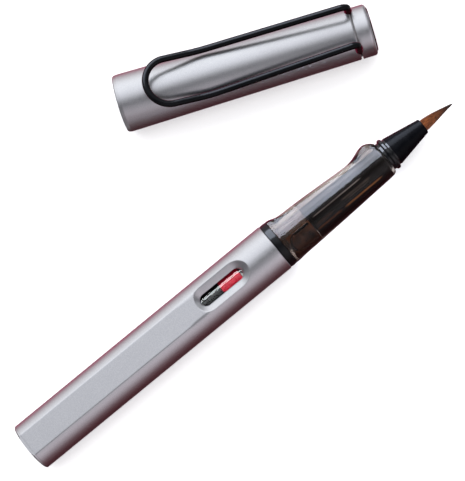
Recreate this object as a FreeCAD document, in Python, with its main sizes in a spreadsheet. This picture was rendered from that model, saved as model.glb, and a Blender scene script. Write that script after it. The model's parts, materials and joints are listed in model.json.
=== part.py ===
import FreeCAD, Part
import os
import math
import Sketcher
from FreeCAD import Vector, Placement, Rotation

# Refillable brush pen with its cap pulled off and laid beside it, in millimetres.
# Row frame: +X along the pen towards the brush tip, +Z up, both pieces lie on z = 0.
# Pen pieces are drawn in the pen's own frame: the pen's axis is X, the x = 0 plane
# crosses the barrel a little behind its front edge.  Cap pieces are drawn in the cap's own
# frame: the cap's axis is X, its mouth looks along -X and its clip is on the +Z side.

doc = FreeCAD.newDocument("brush_pen")
sheet = doc.addObject("Spreadsheet::Sheet", "Dims")

DIMS = [
    # placement of the two laid-down pieces
    ("pen_pos_x", -8.025), ("pen_pos_y", -25.56), ("pen_pos_z", 6.2),
    ("cap_pos_x", 32.455), ("cap_pos_y", 12.986), ("cap_pos_z", 7.13), ("cap_yaw", -23.35),
    # barrel
    ("barrel_rad", 6.2), ("barrel_rear", -56.75), ("barrel_front", 18.5), ("barrel_bore", 4.25),
    ("plug_thick", 0.8), ("flat_height", 5.46), ("flat_end", 3.5),
    ("insert_rad", 5.35), ("insert_bore", 4.66), ("insert_rear", 10.9),
    # window: a dished recess round a slot, on both flats
    ("slot_mid", 2.73), ("slot_half_len", 6.15), ("slot_half_wid", 1.5), ("slot_level", 4.4),
    ("dish_level", 6.5), ("dish_front", 11.0), ("dish_rear", -5.78), ("dish_half_wid", 5.6),
    # collar ring
    ("ring_rad", 6.12), ("ring_rear", 18.52), ("ring_front", 20.36), ("ring_bead", 0.5),
    # grip
    ("neck_rad", 4.6), ("neck_rear", 11.6), ("neck_bore", 3.85), ("neck_bore_end", 28.5),
    ("grip_rear", 20.38), ("grip_front", 52.1), ("core_rad", 3.4), ("core_rear", 28.5),
    ("core_front", 51.4), ("nipple_rad", 1.25), ("nipple_rear", 22.0), ("nipple_hole", 0.55),
    ("socket_rad", 2.25), ("socket_rear", 41.0),
    # brush head
    ("stem_rad", 2.2), ("stem_rear", 42.0), ("collar_rear", 52.14), ("collar_rad", 4.22), ("cone_rear", 54.4),
    ("cone_front", 63.95), ("cone_rad_rear", 3.72), ("cone_rad_front", 1.95), ("tuft_base", 59.0),
    ("tuft_tip", 72.8), ("tuft_rad", 1.5), ("ferrule_rad", 1.72), ("wick_rad", 0.55), ("wick_rear", 41.2),
    # converter
    ("conv_rad", 3.65), ("conv_bore", 3.0), ("conv_front", 28.2), ("conv_rear", -22.0),
    ("mouth_rear", 24.0), ("mouth_hole", 1.31), ("seal_rad", 2.95), ("seal_rear", 2.4), ("seal_front", 8.1),
    ("carrier_rad", 2.5), ("carrier_rear", -24.1), ("carrier_bore", 1.15), ("sleeve_rad", 3.95),
    ("sleeve_front", -20.0), ("sleeve_rear", -36.0), ("sleeve_bore", 2.6), ("screw_rad", 1.05),
    ("screw_tip", -9.1), ("knob_rad", 3.8), ("knob_front", -36.06), ("knob_rear", -47.0),
    # cap
    ("cap_mouth_u", -31.4), ("cap_rad_mouth", 7.13), ("cap_rad_end", 6.36), ("cap_tube_end", 27.5),
    ("cap_bore", 6.36), ("cap_bore_end", -25.0), ("cap_bore_deep", 5.75), ("mouth_bevel", 0.95),
    ("inner_front", 4.4), ("inner_rad", 4.4), ("inner_wall_end", 26.0), ("inner_cavity_end", 25.2),
    ("anchor_end", 29.0), ("anchor_rad", 5.7), ("crown_start", 27.88), ("crown_end", 31.6), ("crown_rad", 6.32),
    ("crown_round", 0.85), ("finial_rad", 5.35), ("finial_end", 31.98), ("cap_screw_rad", 1.5),
    # clip
    ("wire_rad", 0.82), ("clip_u", 27.4), ("clip_y_root", 4.8), ("clip_y_loop", 5.6), ("clip_foot_z", 0.9),
    ("clip_top_z", 8.7), ("clip_touch_u", -9.6), ("clip_touch_z", 5.78), ("clip_loop_u", -18.0),
    ("clip_loop_z", 8.0), ("clip_hole_rad", 1.0),
]
# grip stations: x, round radius, spine radius, half width of the spine measured at the facet edge
GRIP = [
    (20.38, 6.12, 6.12, 5.13), (21.30, 6.06, 5.98, 5.05), (22.60, 5.95, 5.52, 4.72), (23.90, 5.86, 5.28, 4.38),
    (26.80, 5.79, 5.19, 4.00), (30.60, 5.63, 5.03, 3.73), (34.40, 5.49, 4.81, 3.53), (38.20, 5.32, 4.57, 3.35),
    (41.90, 5.15, 4.35, 3.15), (43.80, 5.06, 4.30, 3.09), (45.60, 4.97, 4.54, 3.28), (47.00, 4.92, 5.00, 3.72),
    (48.30, 4.87, 5.42, 4.28), (49.50, 4.80, 5.60, 4.78), (50.60, 4.72, 5.30, 4.68), (51.50, 4.62, 4.75, 4.18),
    (52.10, 4.25, 4.15, 3.60),
]
for i, (gx, gr, gs, gy) in enumerate(GRIP):
    DIMS += [("gst%02d_x" % i, gx), ("gst%02d_round" % i, gr), ("gst%02d_spine" % i, gs), ("gst%02d_edge" % i, gy)]

VAL = {}
for n, (alias, value) in enumerate(DIMS):
    row = n + 1
    sheet.set("A%d" % row, alias)
    sheet.set("B%d" % row, repr(float(value)))
    sheet.setAlias("B%d" % row, alias)
    VAL[alias] = float(value)
doc.recompute()


# ---- small helpers ---------------------------------------------------------------------------
def term(tok):
    if "*" in tok:
        a, b = tok.split("*")
        return term(a) * term(b)
    if "/" in tok:
        a, b = tok.split("/")
        return term(a) / term(b)
    return VAL[tok] if tok in VAL else float(tok)


def num(expr):
    """value of 'a + b - c', a sum of sheet cells and numbers"""
    toks = expr.split()
    total, sign = 0.0, 1.0
    for tok in toks:
        if tok == "+":
            sign = 1.0
        elif tok == "-":
            sign = -1.0
        else:
            total += sign * term(tok)
    return total


def bound(expr):
    """the same sum written for the document's expression engine"""
    out = []
    for tok in expr.split():
        if tok in ("+", "-"):
            out.append(tok)
            continue
        for op in ("*", "/"):
            if op in tok:
                out.append(op.join(("Dims." + p) if p in VAL else p for p in tok.split(op)))
                break
        else:
            out.append(("Dims." + tok) if tok in VAL else tok)
    return " ".join(out)


def plane(body, role):
    for f in body.Origin.OriginFeatures:
        if f.Role == role:
            return f
    raise RuntimeError(role)


def new_body(label):
    body = doc.addObject("PartDesign::Body", label)
    body.Label = label
    return body


def new_sketch(body, name, role, offset=None):
    sk = body.newObject("Sketcher::SketchObject", name)
    sk.AttachmentSupport = (plane(body, role), "")
    sk.MapMode = "FlatFace"
    if offset is not None:
        sk.AttachmentOffset = Placement(Vector(0, 0, num(offset)), Rotation())
        sk.setExpression("AttachmentOffset.Base.z", bound(offset))
    return sk


def pin_vertex(sk, geo, pos, ex, ey):
    """ties one vertex to its two sheet sums"""
    x, y = num(ex), num(ey)
    if abs(x) < 1e-9:
        sk.addConstraint(Sketcher.Constraint("PointOnObject", geo, pos, -2))
    else:
        c = sk.addConstraint(Sketcher.Constraint("DistanceX", -1, 1, geo, pos, x))
        sk.setExpression("Constraints[%d]" % c, bound(ex))
    if abs(y) < 1e-9:
        sk.addConstraint(Sketcher.Constraint("PointOnObject", geo, pos, -1))
    else:
        c = sk.addConstraint(Sketcher.Constraint("DistanceY", -1, 1, geo, pos, y))
        sk.setExpression("Constraints[%d]" % c, bound(ey))


def polygon(sk, pts):
    n = len(pts)
    xy = [Vector(num(a), num(b), 0) for a, b in pts]
    first = sk.GeometryCount
    for i in range(n):
        sk.addGeometry(Part.LineSegment(xy[i], xy[(i + 1) % n]), False)
    for i in range(n):
        sk.addConstraint(Sketcher.Constraint("Coincident", first + i, 2, first + (i + 1) % n, 1))
    for i in range(n):
        pin_vertex(sk, first + i, 1, pts[i][0], pts[i][1])


def circle(sk, ex, ey, er):
    g = sk.addGeometry(Part.Circle(Vector(num(ex), num(ey), 0), Vector(0, 0, 1), num(er)), False)
    pin_vertex(sk, g, 3, ex, ey)
    c = sk.addConstraint(Sketcher.Constraint("Radius", g, num(er)))
    sk.setExpression("Constraints[%d]" % c, bound(er))


def slot_outline(sk, rear, front, half):
    """a stadium along the sketch's X axis, from rear to front, half = its half width"""
    xr, xf, hw = num(rear), num(front), num(half)
    a = Part.Arc(Vector(xf - hw, -hw, 0), Vector(xf, 0, 0), Vector(xf - hw, hw, 0))
    b = Part.Arc(Vector(xr + hw, hw, 0), Vector(xr, 0, 0), Vector(xr + hw, -hw, 0))
    g0 = sk.addGeometry(a, False)
    g1 = sk.addGeometry(Part.LineSegment(Vector(xf - hw, hw, 0), Vector(xr + hw, hw, 0)), False)
    g2 = sk.addGeometry(b, False)
    g3 = sk.addGeometry(Part.LineSegment(Vector(xr + hw, -hw, 0), Vector(xf - hw, -hw, 0)), False)
    for p, q in ((g0, g1), (g1, g2), (g2, g3), (g3, g0)):
        sk.addConstraint(Sketcher.Constraint("Coincident", p, 2, q, 1))
    # the arcs' centres lie on the axis, each half a width in from its end
    for g, e in ((g0, front + " - " + half), (g2, rear + " + " + half)):
        sk.addConstraint(Sketcher.Constraint("PointOnObject", g, 3, -1))
        c = sk.addConstraint(Sketcher.Constraint("DistanceX", -1, 1, g, 3, num(e)))
        sk.setExpression("Constraints[%d]" % c, bound(e))
        c = sk.addConstraint(Sketcher.Constraint("Radius", g, hw))
        sk.setExpression("Constraints[%d]" % c, bound(half))
    for g in (g0, g2):
        for pos in (1, 2):
            sk.addConstraint(Sketcher.Constraint("Vertical", g, pos, g, 3))


def revolve(body, pts, tag="turned", cut=False):
    """a turned shape about the body's X axis from an outline in its XY plane"""
    sk = new_sketch(body, body.Label + "_" + tag + "_outline", "XY_Plane")
    polygon(sk, pts)
    kind = "PartDesign::Groove" if cut else "PartDesign::Revolution"
    rev = body.newObject(kind, body.Label + "_" + tag)
    rev.Profile = sk
    rev.ReferenceAxis = (sk, ["H_Axis"])
    rev.Angle = 360
    sk.Visibility = False
    doc.recompute()
    return rev


def turned(label, pts):
    body = new_body(label)
    revolve(body, pts)
    return body


def round_edges(body, radius, pick, name):
    """rounds the body's edges that pick() accepts"""
    base = body.Tip
    names = ["Edge%d" % (i + 1) for i, e in enumerate(base.Shape.Edges) if pick(e)]
    if not names:
        raise RuntimeError("no edge for " + name)
    f = body.newObject("PartDesign::Fillet", body.Label + "_" + name)
    f.Base = (base, names)
    f.Radius = num(radius)
    f.setExpression("Radius", bound(radius))
    doc.recompute()
    return f


def full_circle_at(x, r):
    def pick(e):
        c = e.Curve
        return (c.TypeId == "Part::GeomCircle" and abs(c.Radius - r) < 1e-3
                and abs(c.Center.x - x) < 1e-3)
    return pick


def cut_check(body, feature, before, least, most):
    gone = before - feature.Shape.Volume
    if not (least < gone < most):
        raise RuntimeError("%s removed %.3f mm3" % (feature.Label, gone))


def pen_place(obj):
    obj.Placement = Placement(Vector(VAL["pen_pos_x"], VAL["pen_pos_y"], VAL["pen_pos_z"]), Rotation())
    for ax in "xyz":
        obj.setExpression("Placement.Base." + ax, "Dims.pen_pos_" + ax)
    nodes.append(obj)


def cap_place(obj):
    obj.Placement = Placement(Vector(VAL["cap_pos_x"], VAL["cap_pos_y"], VAL["cap_pos_z"]),
                              Rotation(Vector(0, 0, 1), VAL["cap_yaw"]))
    for ax in "xyz":
        obj.setExpression("Placement.Base." + ax, "Dims.cap_pos_" + ax)
    nodes.append(obj)


nodes = []


def flats(body, x_rear, x_front):
    """two opposite flats, above and below"""
    sk = new_sketch(body, body.Label + "_flat_outline", "XY_Plane", "flat_height")
    polygon(sk, [(x_rear, "-9.0"), (x_front, "-9.0"), (x_front, "9.0"), (x_rear, "9.0")])
    p = body.newObject("PartDesign::Pocket", body.Label + "_flat")
    p.Profile = sk
    p.Type = "Length"
    p.Length = 3.0
    p.Reversed = True
    doc.recompute()
    m = body.newObject("PartDesign::Mirrored", body.Label + "_flats")
    m.Originals = [p]
    m.MirrorPlane = (plane(body, "XY_Plane"), [""])
    body.Tip = m
    doc.recompute()
    return p, m


# ---- barrel ----------------------------------------------------------------------------------
# A thick tube with two long flats and a window in each.  Its mouth is counterbored for the
# threaded insert, and its front edge has a small bright chamfer.
barrel = turned("barrel_tube", [
    ("barrel_rear + plug_thick", "barrel_bore"), ("barrel_rear + plug_thick", "barrel_rad"),
    ("barrel_front - 0.2", "barrel_rad"), ("barrel_front", "barrel_rad - 0.16"),
    ("barrel_front", "insert_rad"), ("insert_rear", "insert_rad"), ("insert_rear", "barrel_bore")])
v0 = barrel.Shape.Volume
flat_p, flat_m = flats(barrel, "barrel_rear - 1.0", "flat_end")
cut_check(barrel, flat_m, v0, 250.0, 420.0)

v0 = barrel.Shape.Volume
dish_low = new_sketch(barrel, "dish_low", "XY_Plane", "slot_level")
slot_outline(dish_low, "slot_mid - slot_half_len", "slot_mid + slot_half_len", "slot_half_wid")
dish_high = new_sketch(barrel, "dish_high", "XY_Plane", "dish_level")
slot_outline(dish_high, "dish_rear", "dish_front", "dish_half_wid")
dish = barrel.newObject("PartDesign::SubtractiveLoft", "window_dish")
dish.Profile = dish_low
dish.Sections = [dish_high]
dish.Ruled = True
doc.recompute()
slot_sk = new_sketch(barrel, "slot_outline", "XY_Plane", "slot_level + 0.02")
slot_outline(slot_sk, "slot_mid - slot_half_len", "slot_mid + slot_half_len", "slot_half_wid")
slot = barrel.newObject("PartDesign::Pocket", "window_slot")
slot.Profile = slot_sk
slot.Type = "Length"
slot.Length = 1.6
doc.recompute()
both = barrel.newObject("PartDesign::Mirrored", "windows")
both.Originals = [dish, slot]
both.MirrorPlane = (plane(barrel, "XY_Plane"), [""])
barrel.Tip = both
doc.recompute()
cut_check(barrel, both, v0, 80.0, 330.0)
pen_place(barrel)

# the end plug closes the tube: a thin disc with the same flats and a spigot in the bore
plug = turned("barrel_end_plug", [
    ("barrel_rear", "0.0"), ("barrel_rear", "barrel_rad - 0.9"), ("barrel_rear + 0.12", "barrel_rad - 0.35"),
    ("barrel_rear + 0.42", "barrel_rad"), ("barrel_rear + plug_thick", "barrel_rad"),
    ("barrel_rear + plug_thick", "barrel_bore"), ("barrel_rear + plug_thick + 1.2", "barrel_bore"),
    ("barrel_rear + plug_thick + 1.2", "0.0")])
v0 = plug.Shape.Volume
pf, pm = flats(plug, "barrel_rear - 1.0", "barrel_rear + plug_thick + 0.5")
cut_check(plug, pm, v0, 1.0, 12.0)
pen_place(plug)

# plastic insert that carries the barrel's thread (plain bore here)
pen_place(turned("barrel_thread_insert", [
    ("insert_rear", "insert_bore"), ("insert_rear", "insert_rad"), ("barrel_front - 0.05", "insert_rad"),
    ("barrel_front - 0.05", "insert_bore + 0.25"), ("barrel_front - 0.35", "insert_bore")]))

# ---- collar ring -----------------------------------------------------------------------------
ring = turned("collar_ring", [
    ("ring_rear", "neck_rad + 0.05"), ("ring_rear", "ring_rad"), ("ring_front", "ring_rad"),
    ("ring_front", "neck_rad + 0.05")])
round_edges(ring, "ring_bead", lambda e: (full_circle_at(num("ring_rear"), num("ring_rad"))(e)
            or full_circle_at(num("ring_front"), num("ring_rad"))(e)), "bead")
pen_place(ring)

# ---- grip section ----------------------------------------------------------------------------
# Lofted through stations: the -Y side is round, two flat finger facets meet it on the +Z and -Z
# lines, and a narrow rounded spine joins the facets on the +Y side, rising to a finger stop.
grip = new_body("grip_section")
stations = []
for i in range(len(GRIP)):
    k = "gst%02d_" % i
    sk = new_sketch(grip, "grip_station_%02d" % i, "YZ_Plane", k + "x")
    R, S, E = VAL[k + "round"], VAL[k + "spine"], VAL[k + "edge"]
    zc = math.sqrt(S * S - E * E)
    g0 = sk.addGeometry(Part.Arc(Vector(0, R, 0), Vector(-R, 0, 0), Vector(0, -R, 0)), False)
    g1 = sk.addGeometry(Part.LineSegment(Vector(0, -R, 0), Vector(E, -zc, 0)), False)
    g2 = sk.addGeometry(Part.Arc(Vector(E, -zc, 0), Vector(S, 0, 0), Vector(E, zc, 0)), False)
    g3 = sk.addGeometry(Part.LineSegment(Vector(E, zc, 0), Vector(0, R, 0)), False)
    for p, q in ((g0, g1), (g1, g2), (g2, g3), (g3, g0)):
        sk.addConstraint(Sketcher.Constraint("Coincident", p, 2, q, 1))
    for g, cell in ((g0, k + "round"), (g2, k + "spine")):
        sk.addConstraint(Sketcher.Constraint("Coincident", g, 3, -1, 1))
        c = sk.addConstraint(Sketcher.Constraint("Radius", g, VAL[cell]))
        sk.setExpression("Constraints[%d]" % c, "Dims." + cell)
    sk.addConstraint(Sketcher.Constraint("PointOnObject", g0, 1, -2))
    sk.addConstraint(Sketcher.Constraint("PointOnObject", g0, 2, -2))
    for pos in (1, 2):
        c = sk.addConstraint(Sketcher.Constraint("DistanceX", -1, 1, g2, pos, E))
        sk.setExpression("Constraints[%d]" % c, "Dims." + k + "edge")
    stations.append(sk)
loft = grip.newObject("PartDesign::AdditiveLoft", "grip_loft")
loft.Profile = stations[0]
loft.Sections = stations[1:]
loft.Ruled = False
doc.recompute()
v_loft = grip.Shape.Volume
revolve(grip, [("neck_rear", "0.0"), ("neck_rear", "neck_rad - 0.3"), ("neck_rear + 0.3", "neck_rad"),
               ("grip_rear + 0.5", "neck_rad"), ("grip_rear + 0.5", "0.0")], "neck")
v0 = grip.Shape.Volume
bore = revolve(grip, [("neck_rear - 1.0", "0.0"), ("neck_rear - 1.0", "neck_bore"), ("neck_bore_end", "neck_bore"),
                      ("neck_bore_end", "core_rad"), ("grip_front + 1.0", "core_rad"),
                      ("grip_front + 1.0", "0.0")], "bore", cut=True)
cut_check(grip, bore, v0, 1300.0, 2000.0)
pen_place(grip)

# black core inside the grip: nipple for the converter behind, socket for the brush head in front
pen_place(turned("section_core", [
    ("nipple_rear", "nipple_hole"), ("nipple_rear", "nipple_rad - 0.2"), ("nipple_rear + 0.4", "nipple_rad"),
    ("core_rear", "nipple_rad"), ("core_rear", "core_rad"), ("core_front", "core_rad"),
    ("core_front", "socket_rad"), ("socket_rear", "socket_rad"), ("socket_rear", "nipple_hole")]))

# ---- brush head ------------------------------------------------------------------------------
pen_place(turned("head_stem", [
    ("stem_rear", "wick_rad"), ("stem_rear", "stem_rad - 0.35"), ("stem_rear + 0.8", "stem_rad"),
    ("collar_rear", "stem_rad"), ("tuft_base - 0.1", "stem_rad"), ("tuft_base - 0.1", "wick_rad")]))

# stepped collar: seat, thin neck, proud ridge, groove
pen_place(turned("head_collar", [
    ("collar_rear", "stem_rad"), ("collar_rear", "3.78"), ("collar_rear + 0.62", "3.78"),
    ("collar_rear + 0.8", "collar_rad - 0.12"), ("collar_rear + 1.0", "collar_rad"),
    ("collar_rear + 1.45", "collar_rad"), ("collar_rear + 1.68", "collar_rad - 0.14"),
    ("collar_rear + 1.8", "3.62"), ("cone_rear", "3.62"), ("cone_rear", "stem_rad")]))

cone = turned("brush_cone", [
    ("cone_rear", "stem_rad"), ("cone_rear", "cone_rad_rear"), ("cone_front", "cone_rad_front"),
    ("cone_front", "ferrule_rad"), ("tuft_base - 0.1", "ferrule_rad"), ("tuft_base - 0.1", "stem_rad")])
round_edges(cone, "0.12", full_circle_at(num("cone_front"), num("cone_rad_front")), "lip")
pen_place(cone)

pen_place(turned("tuft_ferrule", [
    ("tuft_base - 0.1", "0.9"), ("tuft_base - 0.1", "ferrule_rad"), ("cone_front - 0.1", "ferrule_rad"),
    ("cone_front - 0.1", "tuft_rad"), ("tuft_base + 0.3", "tuft_rad"), ("tuft_base + 0.3", "0.9")]))

pen_place(turned("brush_tuft", [
    ("tuft_base + 0.3", "0.0"), ("tuft_base + 0.3", "tuft_rad"), ("cone_front + 0.4", "tuft_rad"),
    ("66.0", "1.34"), ("67.5", "1.12"), ("69.0", "0.84"), ("70.5", "0.56"), ("71.7", "0.34"),
    ("72.4", "0.18"), ("tuft_tip", "0.05"), ("tuft_tip", "0.0")]))

pen_place(turned("ink_wick", [
    ("wick_rear", "0.0"), ("wick_rear", "wick_rad"), ("tuft_base + 0.3", "wick_rad"), ("tuft_base + 0.3", "0.0")]))

# ---- converter -------------------------------------------------------------------------------
pen_place(turned("converter_tube", [
    ("conv_rear", "conv_bore"), ("conv_rear", "conv_rad"), ("conv_front - 0.3", "conv_rad"),
    ("conv_front", "conv_rad - 0.3"), ("conv_front", "conv_bore")]))

pen_place(turned("converter_mouth", [
    ("mouth_rear", "mouth_hole"), ("mouth_rear", "conv_bore"), ("conv_front", "conv_bore"),
    ("conv_front", "mouth_hole + 0.25"), ("conv_front - 0.3", "mouth_hole")]))

pen_place(turned("piston_seal", [
    ("seal_rear", "1.2"), ("seal_rear", "seal_rad"), ("seal_rear + 1.5", "seal_rad"),
    ("seal_rear + 1.8", "seal_rad - 0.3"), ("seal_front - 1.8", "seal_rad - 0.3"),
    ("seal_front - 1.5", "seal_rad"), ("seal_front - 0.25", "seal_rad"), ("seal_front", "seal_rad - 0.25"),
    ("seal_front", "0.0"), ("seal_front - 1.6", "0.0"), ("seal_front - 1.6", "1.2")]))

pen_place(turned("piston_carrier", [
    ("carrier_rear", "carrier_bore"), ("carrier_rear", "carrier_rad"), ("seal_rear", "carrier_rad"),
    ("seal_rear", "1.2"), ("seal_front - 1.6", "1.2"), ("seal_front - 1.6", "0.0"),
    ("seal_rear - 1.0", "0.0"), ("seal_rear - 1.0", "carrier_bore")]))

pen_place(turned("drive_sleeve", [
    ("sleeve_rear", "carrier_bore"), ("sleeve_rear", "sleeve_rad"), ("sleeve_front - 0.2", "sleeve_rad"),
    ("sleeve_front", "sleeve_rad - 0.2"), ("sleeve_front", "conv_rad"), ("conv_rear", "conv_rad"),
    ("conv_rear", "sleeve_bore"), ("sleeve_rear + 1.3", "sleeve_bore"), ("sleeve_rear + 1.3", "carrier_bore")]))

pen_place(turned("thrust_washer", [
    ("sleeve_rear + 1.4", "screw_rad"), ("sleeve_rear + 1.4", "2.0"), ("sleeve_rear + 1.85", "2.0"),
    ("sleeve_rear + 1.85", "screw_rad")]))

pen_place(turned("lead_screw", [
    ("knob_rear + 3.0", "0.0"), ("knob_rear + 3.0", "screw_rad"), ("screw_tip - 0.4", "screw_rad"),
    ("screw_tip", "screw_rad - 0.4"), ("screw_tip", "0.0")]))

knob = turned("twist_knob", [
    ("knob_rear", "0.0"), ("knob_rear", "knob_rad - 0.4"), ("knob_rear + 0.4", "knob_rad"),
    ("knob_front - 0.3", "knob_rad"), ("knob_front", "knob_rad - 0.3"), ("knob_front", "screw_rad"),
    ("knob_rear + 3.0", "screw_rad"), ("knob_rear + 3.0", "0.0")])
v0 = knob.Shape.Volume
fl_sk = new_sketch(knob, "flute_outline", "YZ_Plane", "knob_rear - 0.5")
circle(fl_sk, "0.0", "knob_rad + 0.14", "0.36")
flute = knob.newObject("PartDesign::Pocket", "flute")
flute.Profile = fl_sk
flute.Type = "Length"
flute.Length = 9.0
flute.Reversed = True
doc.recompute()
fp = knob.newObject("PartDesign::PolarPattern", "flutes")
fp.Originals = [flute]
fp.Axis = (plane(knob, "X_Axis"), [""])
fp.Angle = 360
fp.Occurrences = 20
knob.Tip = fp
doc.recompute()
cut_check(knob, fp, v0, 8.0, 40.0)
pen_place(knob)

# ---- cap -------------------------------------------------------------------------------------
# holes for the clip's two feet run down through the tube's end, the anchor disc and the crown
def foot_holes(body):
    sk = new_sketch(body, body.Label + "_foot_outline", "XY_Plane", "0.3")
    circle(sk, "clip_u", "clip_y_root", "clip_hole_rad")
    circle(sk, "clip_u", "0.0 - clip_y_root", "clip_hole_rad")
    p = body.newObject("PartDesign::Pocket", body.Label + "_feet")
    p.Profile = sk
    p.Type = "Length"
    p.Length = 9.0
    p.Reversed = True
    doc.recompute()
    return p


cap = turned("cap_tube", [
    ("cap_mouth_u", "cap_bore"), ("cap_mouth_u", "cap_rad_mouth - 0.3"),
    ("cap_mouth_u + 0.22", "cap_rad_mouth - 0.14"), ("cap_mouth_u + mouth_bevel", "cap_rad_mouth"),
    ("cap_tube_end - 0.25", "cap_rad_end"), ("cap_tube_end", "cap_rad_end - 0.2"),
    ("cap_tube_end", "cap_bore_deep"), ("cap_bore_end", "cap_bore_deep"), ("cap_bore_end", "cap_bore")])
v0 = cap.Shape.Volume
cut_check(cap, foot_holes(cap), v0, 0.3, 6.0)
cap_place(cap)

cap_place(turned("inner_cap", [
    ("inner_front", "inner_rad"), ("inner_front", "cap_bore_deep - 0.5"), ("inner_front + 0.5", "cap_bore_deep"),
    ("inner_wall_end", "cap_bore_deep"), ("inner_wall_end", "0.0"), ("inner_cavity_end", "0.0"),
    ("inner_cavity_end", "inner_rad")]))

anchor = turned("clip_anchor", [
    ("inner_wall_end", "0.0"), ("inner_wall_end", "anchor_rad"), ("anchor_end", "anchor_rad"),
    ("anchor_end", "cap_screw_rad"), ("anchor_end - 1.4", "cap_screw_rad"), ("anchor_end - 1.4", "0.0")])
v0 = anchor.Shape.Volume
cut_check(anchor, foot_holes(anchor), v0, 8.0, 30.0)
cap_place(anchor)

crown = turned("cap_crown", [
    ("crown_start", "anchor_rad"), ("crown_start", "crown_rad"), ("crown_end", "crown_rad"),
    ("crown_end", "cap_screw_rad"), ("anchor_end", "cap_screw_rad"), ("anchor_end", "anchor_rad")])
round_edges(crown, "crown_round", full_circle_at(num("crown_end"), num("crown_rad")), "shoulder")
v0 = crown.Shape.Volume
cut_check(crown, foot_holes(crown), v0, 0.05, 3.0)
cap_place(crown)

cap_place(turned("cap_finial", [
    ("crown_end", "0.0"), ("crown_end", "finial_rad"), ("crown_end + 0.2", "finial_rad"),
    ("finial_end - 0.06", "finial_rad - 0.5"), ("finial_end", "finial_rad - 2.0"), ("finial_end", "0.0")]))

cap_place(turned("cap_screw", [
    ("anchor_end - 1.4", "0.0"), ("anchor_end - 1.4", "cap_screw_rad"), ("crown_end", "cap_screw_rad"),
    ("crown_end", "0.0")]))


# ---- clip ------------------------------------------------------------------------------------
# One round wire: a foot down in each hole, a leg along the cap, and a raised loop near the mouth.
def bent_path(pts, radii):
    """straight runs joined by tangent arcs"""
    edges, start = [], pts[0]
    for i in range(1, len(pts) - 1):
        a, b, c = pts[i - 1], pts[i], pts[i + 1]
        d1 = (b - a).normalize()
        d2 = (c - b).normalize()
        turn = math.acos(max(-1.0, min(1.0, d1.dot(d2))))
        cutoff = radii[i] * math.tan(turn / 2.0)
        p, q = b - d1 * cutoff, b + d2 * cutoff
        bis = (d2 - d1).normalize()
        mid = b + bis * (radii[i] / math.cos(turn / 2.0) - radii[i])
        if (p - start).Length > 1e-6:
            edges.append(Part.LineSegment(start, p).toShape())
        edges.append(Part.Arc(p, mid, q).toShape())
        start = q
    return edges, start


U, YR, YL = VAL["clip_u"], VAL["clip_y_root"], VAL["clip_y_loop"]
side = [Vector(U, YR, VAL["clip_foot_z"]), Vector(U, YR, VAL["clip_top_z"]),
        Vector(VAL["clip_touch_u"], YL, VAL["clip_touch_z"]), Vector(VAL["clip_loop_u"], YL, VAL["clip_loop_z"])]
edges, last = bent_path(side, [0, 1.7, 14.0, 0])
edges.append(Part.LineSegment(last, side[-1]).toShape())
slope = (side[3] - side[2]).normalize()
apex = Vector(side[3].x, 0, side[3].z) + slope * YL
loop_arc = Part.Arc(side[3], apex, Vector(side[3].x, -YL, side[3].z)).toShape()
mirror = [e.mirror(Vector(0, 0, 0), Vector(0, 1, 0)) for e in edges]
path = Part.Wire(Part.__sortEdges__(edges + [loop_arc] + mirror))
ring_edge = Part.makeCircle(VAL["wire_rad"], side[0], Vector(0, 0, 1))
wire_solid = path.makePipeShell([Part.Wire([ring_edge])], True, True)
if wire_solid.ShapeType != "Solid":
    wire_solid = Part.Solid(wire_solid.Shells[0])
if wire_solid.Volume < 0:
    wire_solid.reverse()
clip = doc.addObject("Part::Feature", "clip_wire")
clip.Label = "clip_wire"
clip.Shape = wire_solid
cap_place(clip)
want = math.pi * VAL["wire_rad"] ** 2 * path.Length
print("clip wire volume %.2f, section times length %.2f" % (clip.Shape.Volume, want))
if abs(clip.Shape.Volume - want) > 0.02 * want:
    raise RuntimeError("clip sweep volume")

# ---- check and write -------------------------------------------------------------------------
doc.recompute()
for obj in doc.Objects:
    if "Invalid" in obj.State or "Error" in obj.State:
        raise RuntimeError("failed: %s %s" % (obj.Label, obj.State))
box = None
for obj in nodes:
    s = obj.Shape
    if s.isNull() or not s.isValid() or len(s.Solids) < 1:
        raise RuntimeError("bad shape: " + obj.Label)
    box = s.BoundBox if box is None else box.united(s.BoundBox)
os.makedirs("parts", exist_ok=True)
for obj in nodes:
    obj.Shape.exportStep(os.path.join("parts", obj.Label + ".step"))
print("%d nodes, box x %.3f..%.3f y %.3f..%.3f z %.3f..%.3f" % (
    len(nodes), box.XMin, box.XMax, box.YMin, box.YMax, box.ZMin, box.ZMax))
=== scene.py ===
import bpy
import bmesh
import json
import math
import random
import numpy as np
from mathutils import Vector, Matrix

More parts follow.
